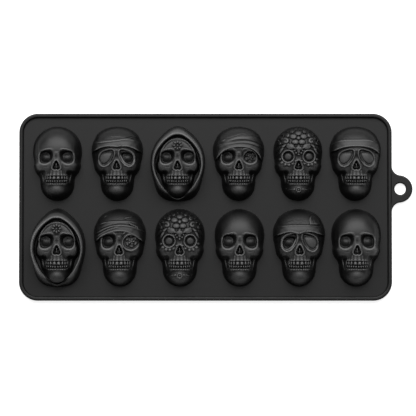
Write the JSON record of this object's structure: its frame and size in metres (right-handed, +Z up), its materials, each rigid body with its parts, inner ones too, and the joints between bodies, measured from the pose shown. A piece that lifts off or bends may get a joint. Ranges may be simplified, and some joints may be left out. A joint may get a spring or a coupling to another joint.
{
  "type": "skull mould",
  "caption": "Flexible silicone baking mould with skull-shaped cavities in rows, a rimmed tray and a tab to hang it by. It is shown with its cavities facing down.",
  "frame": {"origin": "middle of the tray, on the flat mouth face that it lies on", "axes": "+X along the tray towards the hanging tab, +Y towards the tops of the heads, +Z up, out of the mouth face towards the moulded faces"},
  "size_m": [0.2282, 0.1086, 0.0153],
  "materials": {
    "silicone": "satin"
  },
  "bodies": {
    "root": {"tray_sheet": "silicone", "rim_bead": "silicone", "hanging_tab": "silicone", "cup_plain_1": "silicone", "cup_goggles_1": "silicone", "cup_hood_1": "silicone", "cup_wrap_1": "silicone", "cup_flowers_1": "silicone", "cup_goggles_2": "silicone", "cup_hood_2": "silicone", "cup_wrap_2": "silicone", "cup_flowers_2": "silicone", "cup_plain_2": "silicone", "cup_goggles_3": "silicone", "cup_plain_3": "silicone"}
  },
  "joints": []
}
